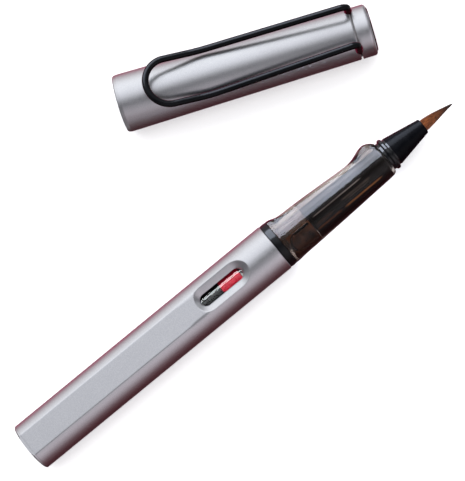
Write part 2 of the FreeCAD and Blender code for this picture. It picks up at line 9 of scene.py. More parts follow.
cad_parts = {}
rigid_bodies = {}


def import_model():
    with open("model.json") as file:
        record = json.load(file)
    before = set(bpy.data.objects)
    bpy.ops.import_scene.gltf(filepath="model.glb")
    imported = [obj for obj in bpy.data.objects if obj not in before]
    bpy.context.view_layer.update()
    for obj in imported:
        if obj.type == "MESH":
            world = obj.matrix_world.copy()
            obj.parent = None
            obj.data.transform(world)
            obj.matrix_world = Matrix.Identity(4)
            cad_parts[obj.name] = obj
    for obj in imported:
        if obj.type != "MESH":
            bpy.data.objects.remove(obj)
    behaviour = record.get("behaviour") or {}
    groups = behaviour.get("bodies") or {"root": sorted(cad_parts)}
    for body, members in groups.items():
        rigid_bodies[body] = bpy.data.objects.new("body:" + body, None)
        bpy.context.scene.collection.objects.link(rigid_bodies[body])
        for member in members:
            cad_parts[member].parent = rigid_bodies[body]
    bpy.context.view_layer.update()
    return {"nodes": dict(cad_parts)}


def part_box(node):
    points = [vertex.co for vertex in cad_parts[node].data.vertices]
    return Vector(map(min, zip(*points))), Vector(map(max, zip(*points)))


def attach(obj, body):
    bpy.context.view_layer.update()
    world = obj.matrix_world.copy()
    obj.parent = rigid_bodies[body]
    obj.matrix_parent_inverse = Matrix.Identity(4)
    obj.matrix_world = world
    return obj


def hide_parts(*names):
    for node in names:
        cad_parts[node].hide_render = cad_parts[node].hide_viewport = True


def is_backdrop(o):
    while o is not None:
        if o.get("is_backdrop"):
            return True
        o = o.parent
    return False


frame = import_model()
NODES = frame["nodes"]
MM = 0.001
for node in NODES.values():
    node.data.materials.clear()
for old in list(bpy.data.materials):
    bpy.data.materials.remove(old)

# placement of the two laid-down pieces, as in the CAD model, in millimetres
PEN = Vector((-8.025, -25.56, 6.2))
CAP = Vector((32.455, 12.986, 7.13))
YAW = math.radians(-23.35)
lo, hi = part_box("barrel_end_plug")
if abs(lo.x / MM - (PEN.x - 56.75)) > 0.05 or abs((lo.y + hi.y) / 2 / MM - PEN.y) > 0.05:
    raise RuntimeError("the pen is not where this script expects it")
lo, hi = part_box("cap_screw")
if abs((lo.z + hi.z) / 2 / MM - CAP.z) > 0.05 or abs((lo.y + hi.y) / 2 / MM - (CAP.y + math.sin(YAW) * 29.6)) > 0.1:
    raise RuntimeError("the cap is not where this script expects it")


def pen(p):
    return Vector((p[0] + PEN.x, p[1] + PEN.y, p[2] + PEN.z)) * MM


def cap(p):
    c, s = math.cos(YAW), math.sin(YAW)
    return Vector((CAP.x + c * p[0] - s * p[1], CAP.y + s * p[0] + c * p[1], CAP.z + p[2])) * MM


# ---- camera ----------------------------------------------------------------------------------
ROLL, TX, TY = math.radians(-39.8484), math.radians(6.8939), math.radians(-8.3074)
right = Vector((math.cos(ROLL), math.sin(ROLL), 0))
up = Vector((-math.sin(ROLL), math.cos(ROLL), 0))
back = (Vector((0, 0, 1)) + right * math.tan(TX) + up * math.tan(TY)).normalized()
right = (right - back * right.dot(back)).normalized()
up = back.cross(right)
target = pen((11.6654, 7.8308, -0.2))
cam_data = bpy.data.cameras.new("view_camera")
cam = bpy.data.objects.new("view_camera", cam_data)
bpy.context.scene.collection.objects.link(cam)
cam_data.sensor_fit = "AUTO"
cam_data.sensor_width = 36.0
cam_data.lens = 2097.449 * 36.0 / 481.0
cam_data.clip_start, cam_data.clip_end = 0.02, 10.0
m = Matrix.Identity(4)
for i, v in enumerate((right, up, back)):
    for j in range(3):
        m[j][i] = v[j]
m.translation = target + back * 0.5
cam.matrix_world = m
bpy.context.scene.camera = cam
bpy.context.scene.view_settings.view_transform = "Standard"
bpy.context.scene.view_settings.look = "None"


# ---- shader helpers --------------------------------------------------------------------------
class Nodes:
    def __init__(self, name):
        self.mat = bpy.data.materials.new(name)
        self.mat.use_nodes = True
        self.t = self.mat.node_tree
        self.bsdf = next(n for n in self.t.nodes if n.type == "BSDF_PRINCIPLED")
        self.out = next(n for n in self.t.nodes if n.type == "OUTPUT_MATERIAL")
        self.co = self.new("ShaderNodeTexCoord").outputs["Object"]

    def new(self, kind, **props):
        n = self.t.nodes.new(kind)
        for k, v in props.items():
            setattr(n, k, v)
        return n

    def link(self, a, b):
        self.t.links.new(a, b)

    def noise(self, scale, detail=2.0, rough=0.5, vector=None, distortion=0.0):
        n = self.new("ShaderNodeTexNoise")
        n.inputs["Scale"].default_value = scale
        n.inputs["Detail"].default_value = detail
        n.inputs["Roughness"].default_value = rough
        n.inputs["Distortion"].default_value = distortion
        self.link(vector or self.co, n.inputs["Vector"])
        return n.outputs["Fac"]

    def stretch(self, sx, sy, sz, yaw=0.0):
        n = self.new("ShaderNodeMapping")
        n.inputs["Scale"].default_value = (sx, sy, sz)
        n.inputs["Rotation"].default_value = (0, 0, yaw)
        self.link(self.co, n.inputs["Vector"])
        return n.outputs["Vector"]

    def ramp(self, fac, stops, interp="LINEAR"):
        n = self.new("ShaderNodeValToRGB")
        n.color_ramp.interpolation = interp
        els = n.color_ramp.elements
        while len(els) < len(stops):
            els.new(0.5)
        for e, (p, c) in zip(els, stops):
            e.position = p
            e.color = (c[0], c[1], c[2], 1.0)
        self.link(fac, n.inputs["Fac"])
        return n.outputs["Color"]

    def span(self, fac, a, b, c, d):
        n = self.new("ShaderNodeMapRange")
        for k, v in zip(("From Min", "From Max", "To Min", "To Max"), (a, b, c, d)):
            n.inputs[k].default_value = v
        self.link(fac, n.inputs["Value"])
        return n.outputs["Result"]

    def math(self, op, a, b=None):
        n = self.new("ShaderNodeMath", operation=op)
        for k, v in enumerate((a, b)):
            if v is None:
                continue
            if isinstance(v, (int, float)):
                n.inputs[k].default_value = v
            else:
                self.link(v, n.inputs[k])
        return n.outputs[0]

    def mix(self, fac, a, b):
        n = self.new("ShaderNodeMix", data_type="RGBA")
        for s, v in ((n.inputs[0], fac), (n.inputs[6], a), (n.inputs[7], b)):
            if isinstance(v, (int, float)):
                s.default_value = v
            elif isinstance(v, tuple):
                s.default_value = (v[0], v[1], v[2], 1.0)
            else:
                self.link(v, s)
        return n.outputs[2]

    def bump(self, height, strength, distance):
        n = self.new("ShaderNodeBump")
        n.inputs["Strength"].default_value = strength
        n.inputs["Distance"].default_value = distance
        self.link(height, n.inputs["Height"])
        self.link(n.outputs["Normal"], self.bsdf.inputs["Normal"])

    def set(self, **values):
        for k, v in values.items():
            s = self.bsdf.inputs[k.replace("_", " ")]
            if isinstance(v, (int, float)):
                s.default_value = v
            elif isinstance(v, tuple):
                s.default_value = (v[0], v[1], v[2], 1.0)
            else:
                self.link(v, s)
        return self.mat


def silver():
    """bead-blasted, clear-anodised aluminium: a fine even sparkle over a soft satin sheen"""
    n = Nodes("silver_anodised")
    grain = n.noise(5200, 3.0, 0.6)
    fine = n.noise(16000, 2.0, 0.6)
    cloud = n.noise(90, 3.0, 0.5)
    both = n.math("ADD", n.math("MULTIPLY", grain, 0.6), n.math("MULTIPLY", fine, 0.4))
    tone = n.ramp(both, [(0.30, (0.50, 0.505, 0.53)), (0.50, (0.60, 0.605, 0.625)), (0.72, (0.78, 0.78, 0.79))])
    tone = n.mix(n.span(cloud, 0.3, 0.7, 0.0, 0.10), tone, (0.52, 0.51, 0.53))
    n.bump(both, 0.35, 0.000012)
    return n.set(Base_Color=tone, Metallic=1.0, Roughness=n.span(n.math("ADD", n.math("MULTIPLY", cloud, 0.3), n.math("MULTIPLY", grain, 0.7)), 0.3, 0.7, 0.30, 0.42))


def gloss_black(name="gloss_black", rough=0.11, scratch=0.0, spec=0.2):
    n = Nodes(name)
    orange = n.noise(900, 2.0, 0.5)
    dust = n.noise(9000, 2.0, 0.7)
    tone = n.ramp(n.noise(240, 3.0, 0.6), [(0.35, (0.0016, 0.0017, 0.0020)), (0.65, (0.0030, 0.0031, 0.0036))])
    n.bump(orange, 0.25, 0.00001)
    return n.set(Base_Color=tone, Metallic=0.0, IOR=1.52, Specular_IOR_Level=spec, Roughness=n.span(dust, 0.42, 0.72, rough, rough + 0.10 + scratch))


def moulded(name, a, b, rough, grain=2600, ior=1.5, spec=0.5):
    n = Nodes(name)
    tex = n.noise(grain, 3.0, 0.6)
    tone = n.ramp(n.noise(350, 4.0, 0.6), [(0.35, a), (0.65, b)])
    n.bump(tex, 0.3, 0.00001)
    return n.set(Base_Color=tone, IOR=ior, Specular_IOR_Level=spec, Roughness=n.span(tex, 0.35, 0.65, rough - 0.05, rough + 0.08))


def glassy(name, colour, ior, rough, density=0.0, absorb=(1, 1, 1), spec=0.5, wave=0.18, tint=1.0):
    n = Nodes(name)
    ripple = n.noise(260, 2.0, 0.5)
    speck = n.noise(5000, 2.0, 0.6)
    tone = n.mix(n.span(n.noise(420, 3.0, 0.6), 0.35, 0.65, 0.0, 1.0), colour, tuple(0.93 * c for c in colour))
    n.bump(ripple, wave, 0.00002)
    if density:
        v = n.new("ShaderNodeVolumeAbsorption")
        v.inputs["Color"].default_value = (*absorb, 1.0)
        v.inputs["Density"].default_value = density
        n.link(v.outputs[0], n.out.inputs["Volume"])
    return n.set(Base_Color=tone, IOR=ior, Transmission_Weight=1.0, Specular_IOR_Level=spec, Specular_Tint=(tint, tint, tint), Roughness=n.span(speck, 0.5, 0.8, rough, rough + 0.03))


def steel():
    n = Nodes("bright_steel")
    lines = n.noise(1.0, 3.0, 0.6, n.stretch(14000, 300, 300))
    tone = n.ramp(lines, [(0.3, (0.42, 0.42, 0.43)), (0.7, (0.62, 0.62, 0.63))])
    n.bump(lines, 0.3, 0.00001)
    return n.set(Base_Color=tone, Metallic=1.0, Roughness=n.span(lines, 0.3, 0.7, 0.18, 0.34))


def brass():
    n = Nodes("brass_crimp")
    spots = n.noise(2200, 3.0, 0.6)
    tone = n.ramp(spots, [(0.35, (0.62, 0.42, 0.16)), (0.65, (0.78, 0.56, 0.24))])
    n.bump(spots, 0.25, 0.00001)
    return n.set(Base_Color=tone, Metallic=1.0, Roughness=n.span(spots, 0.3, 0.7, 0.22, 0.36))


def hair():
    """stiff brown hair: every strand a little different, darker and inky towards the point"""
    n = Nodes("brush_hair")
    streak = n.noise(1.0, 3.0, 0.65, n.stretch(120, 7000, 7000))
    sep = n.new("ShaderNodeSeparateXYZ")
    n.link(n.co, sep.inputs[0])
    x0 = (PEN.x + 62.5) * MM
    along = n.span(sep.outputs["X"], x0, x0 + 0.0105, 0.0, 1.0)
    brown = n.ramp(streak, [(0.36, (0.022, 0.006, 0.003)), (0.5, (0.17, 0.046, 0.011)), (0.62, (0.42, 0.130, 0.032))])
    dark = n.ramp(streak, [(0.35, (0.006, 0.003, 0.002)), (0.7, (0.040, 0.012, 0.006))])
    k = n.span(n.math("ADD", along, n.math("MULTIPLY", n.math("SUBTRACT", streak, 0.5), 0.9)), 0.26, 0.86, 0.0, 1.0)
    n.bump(streak, 0.4, 0.00003)
    return n.set(Base_Color=n.mix(k, brown, dark), Roughness=n.span(streak, 0.3, 0.7, 0.34, 0.5), Specular_IOR_Level=0.45)


def fibre():
    n = Nodes("wick_fibre")
    f = n.noise(1.0, 3.0, 0.6, n.stretch(200, 9000, 9000))
    n.bump(f, 0.6, 0.00004)
    return n.set(Base_Color=n.ramp(f, [(0.3, (0.45, 0.42, 0.36)), (0.7, (0.75, 0.72, 0.66))]), Roughness=n.span(f, 0.3, 0.7, 0.75, 0.95))


M = {
    "silver_anodised": silver(),
    "gloss_black": gloss_black(),
    "black_wire": gloss_black("black_wire", 0.13, 0.04, 0.10),
    "black_plastic": moulded("black_plastic", (0.003, 0.003, 0.0034), (0.006, 0.006, 0.0068), 0.30, spec=0.22),
    "grey_plastic": moulded("grey_plastic", (0.16, 0.16, 0.165), (0.24, 0.24, 0.245), 0.42),
    "smoked_plastic": glassy("smoked_plastic", (0.80, 0.775, 0.76), 1.53, 0.03, 460.0, (0.40, 0.32, 0.27), tint=0.40),
    "clear_plastic": glassy("clear_plastic", (0.96, 0.985, 0.98), 1.49, 0.02, wave=0.0, tint=0.35),
    "red_seal": moulded("red_seal", (0.36, 0.005, 0.018), (0.47, 0.009, 0.028), 0.34, spec=0.10),
    "bright_steel": steel(),
    "brass_crimp": brass(),
    "brush_hair": hair(),
    "wick_fibre": fibre(),
}
FINISH = {
    "barrel_tube": "silver_anodised", "barrel_end_plug": "silver_anodised", "barrel_thread_insert": "black_plastic",
    "collar_ring": "gloss_black", "grip_section": "smoked_plastic", "section_core": "black_plastic",
    "head_stem": "black_plastic", "head_collar": "gloss_black", "brush_cone": "gloss_black", "tuft_ferrule": "brass_crimp",
    "brush_tuft": "brush_hair", "ink_wick": "wick_fibre", "converter_tube": "clear_plastic",
    "converter_mouth": "clear_plastic", "piston_seal": "red_seal", "piston_carrier": "black_plastic",
    "drive_sleeve": "bright_steel", "thrust_washer": "bright_steel", "lead_screw": "black_plastic",
    "twist_knob": "black_plastic", "cap_tube": "silver_anodised", "inner_cap": "black_plastic",
    "clip_anchor": "grey_plastic", "cap_crown": "silver_anodised", "cap_finial": "gloss_black",
    "cap_screw": "bright_steel", "clip_wire": "black_wire",
}
for node, obj in NODES.items():
    obj.data.materials.clear()
    obj.data.materials.append(M[FINISH[node]])
    for p in obj.data.polygons:
        p.material_index = 0


# ---- mesh helpers ----------------------------------------------------------------------------
def make(name, verts, faces, place, finish, body, nodes=(), sharp=35.0, weighted=True, mat=None):
    me = bpy.data.meshes.new(name)
    me.from_pydata([place(v) for v in verts], [], faces)
    bm = bmesh.new()
    bm.from_mesh(me)
    bmesh.ops.recalc_face_normals(bm, faces=bm.faces)
    bm.to_mesh(me)
    bm.free()
    me.polygons.foreach_set("use_smooth", [True] * len(me.polygons))
    if sharp:
        me.set_sharp_from_angle(angle=math.radians(sharp))
    me.materials.append(mat or M[finish])
    o = bpy.data.objects.new(name, me)
    bpy.context.scene.collection.objects.link(o)
    if weighted:
        w = o.modifiers.new("weighted", "WEIGHTED_NORMAL")
        w.mode = "FACE_AREA"
        w.keep_sharp = True
    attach(o, body)
    if nodes:
        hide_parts(*nodes)
    return o


def rounded(pts, radii, steps=4):
    """a closed outline of (x, r) with each corner rounded by its own radius"""
    out = []
    n = len(pts)
    for i in range(n):
        a, b, c = Vector(pts[i - 1]), Vector(pts[i]), Vector(pts[(i + 1) % n])
        rad = radii[i] if isinstance(radii, (list, tuple)) else radii
        d1, d2 = b - a, c - b
        l1, l2 = d1.length, d2.length
        if rad <= 0 or l1 < 1e-6 or l2 < 1e-6 or (abs(b.y) < 1e-9):
            out.append((b.x, b.y))
            continue
        d1, d2 = d1 / l1, d2 / l2
        dot = max(-1.0, min(1.0, d1.dot(d2)))
        turn = math.acos(dot)
        if turn < math.radians(4):
            out.append((b.x, b.y))
            continue
        cut = min(rad * math.tan(turn / 2), 0.45 * l1, 0.45 * l2)
        p, q = b - d1 * cut, b + d2 * cut
        for k in range(steps + 1):
            t = k / steps
            e = p * (1 - t) ** 2 + b * (2 * t * (1 - t)) + q * t * t
            out.append((e.x, e.y))
    return out


def lathe(name, pts, radii, place, finish, body, nodes=(), seg=96, wobble=None, sharp=35.0, steps=4, mat=None):
    prof = rounded(pts, radii, steps)
    verts, rings = [], []
    for x, r in prof:
        if r < 1e-6:
            verts.append((x, 0, 0))
            rings.append([len(verts) - 1])
        else:
            start = len(verts)
            for k in range(seg):
                a = 2 * math.pi * k / seg
                rr = r * (wobble(x, a) if wobble else 1.0)
                verts.append((x, rr * math.cos(a), rr * math.sin(a)))
            rings.append(list(range(start, start + seg)))
    faces = []
    for i in range(len(rings)):
        a, b = rings[i], rings[(i + 1) % len(rings)]
        if len(a) == 1 and len(b) == 1:
            continue
        for k in range(seg):
            k2 = (k + 1) % seg
            if len(a) == 1:
                faces.append((a[0], b[k], b[k2]))
            elif len(b) == 1:
                faces.append((a[k], b[0], a[k2]))
            else:
                faces.append((a[k], b[k], b[k2], a[k2]))
    return make(name, verts, faces, place, finish, body, nodes, sharp, mat=mat)


# ---- barrel: a tube with softly broken flat edges and a dished window in each flat ------------
R, F, BORE = 6.2, 5.46, 4.25
A0, A1 = -1.92, 7.38                 # straight run of the slot
D0, D1 = -0.18, 5.40                 # the same run at the dish's upper level
SW, DW = 1.5, 5.6
Z0, Z1 = 4.4, 6.5


def smin(a, b, k):
    h = max(k - abs(a - b), 0.0) / k
    return min(a, b) - h * h * k / 4


def r_out(x, th, inset=0.0):
    s = abs(math.sin(th))
    t = min(1.0, max(0.0, (x - 2.6) / 1.8))
    lift = t * t * (3 - 2 * t) * 0.85
    flat = (F - inset + lift) / s if s > 0.3 else 99.0
    return smin(R - inset, flat, 0.09)


def stadium(par, k):
    a0, a1 = A0 + (D0 - A0) * k, A1 + (D1 - A1) * k
    w = SW + (DW - SW) * k
    kind, v, side = par
    if kind == "run":
        return a0 + (a1 - a0) * v, side * w
    if kind == "front":
        return a1 + w * math.cos(v), w * math.sin(v)
    return a0 + w * math.cos(v), w * math.sin(v)


def on_dish(par, sign):
    """where the dish wall meets the outside, as (x, y, z, k)"""
    a, b = 0.0, 1.0
    for _ in range(40):
        k = (a + b) / 2
        x, y = stadium(par, k)
        z = Z0 + (Z1 - Z0) * k
        if math.hypot(y, z) < r_out(x, math.atan2(z, y)):
            a = k
        else:
            b = k
    return x, y, z, k


def barrel():
    crease = math.degrees(math.asin(F / R))
    quarter = sorted(set([0, 4, 8, 12, 16, 20, 24, 28, 32, 35] + [round(v, 4) for v in np.linspace(35, 55, 9)]
                         + [round(crease + d, 4) for d in (-3.2, -2.0, -1.3, -0.8, -0.3, 0.2, 0.7, 1.2, 1.9, 3.0)]
                         + [68, 72, 76, 80, 84, 88, 90]))
    half = quarter + [180 - v for v in quarter[::-1]][1:]
    ths = [math.radians(v) for v in half[:-1] + [v + 180 for v in half[:-1]]]
    nt = len(ths)
    t35, t145 = half.index(35), half.index(145)
    windows = [(t35, t145, 1), (t35 + len(half) - 1, t145 + len(half) - 1, -1)]
    px = list(np.linspace(-9.0, 13.6, 62))
    rear, front = -55.95, 18.5
    xs = [rear + 0.05] + list(np.linspace(rear + 1.0, -9.5, 40)) + px + [14.6, 16, 17.4, 18.22, 18.32]
    rows = [("o", rear, 0.05)] + [("o", x, 0.0) for x in xs] + [("o", 18.40, 0.03), ("o", 18.46, 0.08), ("o", 18.5, 0.17)]
    o0 = rows.index(("o", px[0], 0.0))
    o1 = rows.index(("o", px[-1], 0.0))
    rows += [("c", 18.5, 5.42), ("c", 18.44, 5.35), ("c", 10.95, 5.35), ("c", 10.9, 5.30), ("c", 10.9, 4.30), ("c", 10.85, 4.25)]
    inner = [10.4 + (x - px[-1]) * (10.4 + 6.0) / (px[-1] - px[0]) for x in px]
    i0 = len(rows)
    rows += [("c", x, 4.25) for x in inner[::-1]]
    rows += [("c", x, 4.25) for x in (-10, -20, -30, -40, -50, rear + 0.05)] + [("c", rear, 4.3)]
    verts, ids = [], []
    for kind, x, v in rows:
        line = []
        for th in ths:
            r = r_out(x, th, v) if kind == "o" else v
            verts.append((x, r * math.cos(th), r * math.sin(th)))
            line.append(len(verts) - 1)
        ids.append(line)
    nr = len(rows)
    npx = len(px)
    skip = set()
    for ta, tb, sign in windows:
        for i in range(o0, o1):
            for j in range(ta, tb):
                skip.add((i, j))
        for i in range(i0, i0 + npx - 1):
            for j in range(ta, tb):
                skip.add((i, j))
    faces = []
    for i in range(nr):
        for j in range(nt):
            if (i, j) in skip:
                continue
            a, b = ids[i], ids[(i + 1) % nr]
            j2 = (j + 1) % nt
            faces.append((a[j], b[j], b[j2], a[j2]))

    for ta, tb, sign in windows:
        # the border of the cut-out, walked once round, as (row in px, column)
        loop = [(i, ta) for i in range(0, npx - 1)] + [(npx - 1, j) for j in range(ta, tb)]
        loop += [(i, tb) for i in range(npx - 1, 0, -1)] + [(0, j) for j in range(tb, ta, -1)]
        n = len(loop)
        pars, border_o, border_i = [], [], []
        for i, j in loop:
            x, th = px[i], ths[j % nt]
            y = 6.0 * math.cos(th)
            if A0 <= x <= A1:
                pars.append(("run", (x - A0) / (A1 - A0), 1 if y > 0 else -1))
            elif x > A1:
                pars.append(("front", math.atan2(y, x - A1), 1))
            else:
                pars.append(("rear", math.atan2(y, x - A0), 1))
            border_o.append(ids[o0 + i][j % nt])
            border_i.append(ids[i0 + npx - 1 - i][j % nt])
        rings = [border_o]
        edge = [on_dish(p, sign) for p in pars]

        def add(points):
            start = len(verts)
            verts.extend(points)
            rings.append(list(range(start, start + n)))

        def surf(x, th, inset=0.0):
            r = r_out(x, th, inset)
            return (x, r * math.cos(th), sign * r * math.sin(th))

        fracs = [0.12, 0.25, 0.39, 0.53, 0.66, 0.78, 0.88, 0.95]
        ths_b = [math.atan2(abs(math.sin(ths[j % nt])), math.cos(ths[j % nt])) for i, j in loop]
        for f in fracs:
            add([surf(px[loop[q][0]] * (1 - f) + edge[q][0] * f,
                      ths_b[q] * (1 - f) + math.atan2(edge[q][2], edge[q][1]) * f) for q in range(n)])
        # a small broken edge between the outside and the dish wall
        cut = 0.075
        outer_ring, inner_ring = [], []
        for q in range(n):
            x, y, z, k = edge[q]
            th = math.atan2(z, y)
            bx, bt = px[loop[q][0]], ths_b[q]
            d = math.hypot(bx - x, 6 * (bt - th)) or 1.0
            outer_ring.append((x + (bx - x) / d * cut, th + (bt - th) / d * cut))
            kk = k - 0.030
            sx, sy = stadium(pars[q], kk)
            inner_ring.append((sx, sy, Z0 + (Z1 - Z0) * kk))
        add([surf(x, th) for x, th in outer_ring])
        mid = []
        for q in range(n):
            a = Vector(surf(*outer_ring[q]))
            b = Vector((inner_ring[q][0], inner_ring[q][1], sign * inner_ring[q][2]))
            c = Vector((edge[q][0], edge[q][1], sign * edge[q][2]))
            mid.append(tuple((a + b) * 0.25 + c * 0.5))
        add(mid)
        add([(x, y, sign * z) for x, y, z in inner_ring])
        for g in (0.75, 0.5, 0.25, 0.06):
            pts = []
            for q in range(n):
                kk = (edge[q][3] - 0.03) * g
                x, y = stadium(pars[q], kk)
                pts.append((x, y, sign * (Z0 + (Z1 - Z0) * kk)))
            add(pts)
        flat_w = []
        for q in range(n):
            x, y = stadium(pars[q], 0.0)
            flat_w.append((x, y))
        add([(x, y, sign * (Z0 - 0.05)) for x, y in flat_w])
        # down to the bore
        on_bore = [(x, y, math.sqrt(BORE * BORE - y * y)) for x, y in flat_w]
        bore_ring = [(x, y, sign * min(z + 0.02, Z0 - 0.1)) for x, y, z in on_bore]
        add(bore_ring)
        for f in (0.06, 0.3, 0.65):
            pts = []
            for q in range(n):
                i = loop[q][0]
                xx = on_bore[q][0] * (1 - f) + inner[i] * f
                th = math.atan2(on_bore[q][2], on_bore[q][1]) * (1 - f) + ths_b[q] * f
                pts.append((xx, BORE * math.cos(th), sign * BORE * math.sin(th)))
            add(pts)
        rings.append(border_i)
        for a, b in zip(rings[:-1], rings[1:]):
            for q in range(n):
                q2 = (q + 1) % n
                faces.append((a[q], b[q], b[q2], a[q2]))
    make("barrel_shell", verts, faces, pen, "silver_anodised", "barrel", ["barrel_tube"], sharp=38.0)


barrel()


# ---- grip: smoked shell with two flats, a ridge along its far side and a flared finger stop ------
GRIP = [(20.38, 6.12, 6.12, 5.13), (21.30, 6.06, 5.98, 5.05), (22.60, 5.95, 5.52, 4.72), (23.90, 5.86, 5.28, 4.38),
        (26.80, 5.79, 5.19, 4.00), (30.60, 5.63, 5.03, 3.73), (34.40, 5.49, 4.81, 3.53), (38.20, 5.32, 4.57, 3.35),
        (41.90, 5.15, 4.35, 3.15), (43.80, 5.06, 4.30, 3.09), (45.60, 4.97, 4.54, 3.28), (47.00, 4.92, 5.00, 3.72),
        (48.30, 4.87, 5.42, 4.28), (49.50, 4.80, 5.60, 4.78), (50.60, 4.72, 5.30, 4.68), (51.50, 4.62, 4.75, 4.18),
        (52.10, 4.25, 4.15, 3.60)]


def smooth_table(table, x):
    """cubic through a table of (x, values...), with slopes held down so that it never overshoots"""
    n = len(table)
    i = 0
    while i < n - 2 and x > table[i + 1][0]:
        i += 1
    h = table[i + 1][0] - table[i][0]
    t = min(1.0, max(0.0, (x - table[i][0]) / h))
    out = []
    for c in range(1, len(table[0])):
        def slope(k):
            if k == 0 or k == n - 1:
                a, b = (0, 1) if k == 0 else (n - 2, n - 1)
                return (table[b][c] - table[a][c]) / (table[b][0] - table[a][0])
            d0 = (table[k][c] - table[k - 1][c]) / (table[k][0] - table[k - 1][0])
            d1 = (table[k + 1][c] - table[k][c]) / (table[k + 1][0] - table[k][0])
            return 0.0 if d0 * d1 <= 0 else 2 * d0 * d1 / (d0 + d1)
        p0, p1, m0, m1 = table[i][c], table[i + 1][c], slope(i) * h, slope(i + 1) * h
        out.append(p0 * (2 * t ** 3 - 3 * t * t + 1) + m0 * (t ** 3 - 2 * t * t + t) + p1 * (3 * t * t - 2 * t ** 3) + m1 * (t ** 3 - t * t))
    return out


def grip_outline(x, n=176, soft=0.09):
    rr, ss, ee = smooth_table(GRIP, x)
    ee = min(ee, ss - 0.02)
    ze = math.sqrt(max(ss * ss - ee * ee, 0.01))
    pts = [(rr * math.cos(math.radians(a)), rr * math.sin(math.radians(a))) for a in np.linspace(90, 270, 61)]
    pts += [(ee * f, -rr + (rr - ze) * f) for f in np.linspace(0, 1, 21)[1:]]
    a = math.atan2(ze, ee)
    pts += [(ss * math.cos(v), ss * math.sin(v)) for v in np.linspace(-a, a, 41)[1:]]
    pts += [(ee * f, rr - (rr - ze) * f) for f in np.linspace(1, 0, 21)[1:]]
    p = np.array(pts)
    seg = np.hypot(*np.diff(p, axis=0).T)
    s = np.concatenate([[0], np.cumsum(seg)])
    u = np.linspace(0, s[-1], n * 4, endpoint=False)
    q = np.stack([np.interp(u, s, p[:, 0]), np.interp(u, s, p[:, 1])], 1)
    step = s[-1] / (n * 4)
    k = int(3 * soft / step) + 1
    w = np.exp(-0.5 * (np.arange(-k, k + 1) * step / soft) ** 2)
    w /= w.sum()
    q = sum(w[j + k] * np.roll(q, -j, axis=0) for j in range(-k, k + 1))
    return q[::4]


def near_loop(x, a):
    """distance in mm from the long U of the tongue moulded into the bore, on the unrolled wall"""
    v = (a - math.radians(48)) * 3.85
    half, x0 = 2.15, 21.7
    if x > x0 + half:
        return abs(abs(v) - half)
    return abs(math.hypot(x - x0 - half, v) - half)


def grip():
    n = 176
    verts, rings = [], []

    def ring(points):
        start = len(verts)
        verts.extend(points)
        rings.append(list(range(start, start + len(points))))

    def circle(x, r, shape=None):
        pts = []
        for y, z in grip_outline(30.0, n):
            a = math.atan2(z, y)
            rad = r + (shape(x, math.atan2(-y, z)) if shape else 0.0)
            pts.append((x, rad * math.cos(a), rad * math.sin(a)))
        ring(pts)

    for x, r in ((11.60, 4.05), (11.60, 4.40), (11.66, 4.52), (11.80, 4.60)):
        circle(x, r)
    for k in range(9):                                     # a short screw form on the hidden neck
        circle(12.6 + k * 0.62, 4.60 if k % 2 == 0 else 4.44)
    circle(18.4, 4.60)
    circle(20.33, 4.60)
    circle(20.38, 4.66)
    for x, f in ((20.38, 0.965), (20.41, 0.985), (20.47, 0.996)):
        ring([(x, y * f, z * f) for y, z in grip_outline(x, n)])
    for x in np.concatenate([np.linspace(20.56, 46, 70), np.linspace(46.2, 51.5, 34), np.linspace(51.58, 52.02, 6)]):
        ring([(float(x), y, z) for y, z in grip_outline(float(x), n)])
    for x, f in ((52.07, 0.985), (52.10, 0.955), (52.10, 0.90)):
        ring([(x, y * f, z * f) for y, z in grip_outline(min(x, 52.05), n)])
    circle(52.09, 3.46)
    circle(52.04, 3.40)
    for x in np.linspace(51.5, 29.0, 40):
        circle(float(x), 3.40)
    circle(28.56, 3.40)
    circle(28.50, 3.46)
    circle(28.46, 3.80)
    circle(28.40, 3.85)

    def dent(x, a):
        d = near_loop(x, a) if -1.2 < a < 2.8 else 9.0
        e = min(1.0, max(0.0, (28.2 - x) / 0.5))
        return 0.42 * math.exp(-(d / 0.19) ** 2) * e

    for x in np.linspace(28.3, 21.3, 84):
        circle(float(x), 3.85, dent)
    for x in (20.8, 19.0, 16.0, 13.0, 11.72):
        circle(x, 3.85)
    circle(11.62, 3.93)
    faces = []
    for i in range(len(rings)):
        a, b = rings[i], rings[(i + 1) % len(rings)]
        for j in range(n):
            j2 = (j + 1) % n
            faces.append((a[j], b[j], b[j2], a[j2]))
    o = make("grip_shell", verts, faces, pen, "smoked_plastic", "section", ["grip_section"], sharp=40.0)
    o.visible_shadow = False


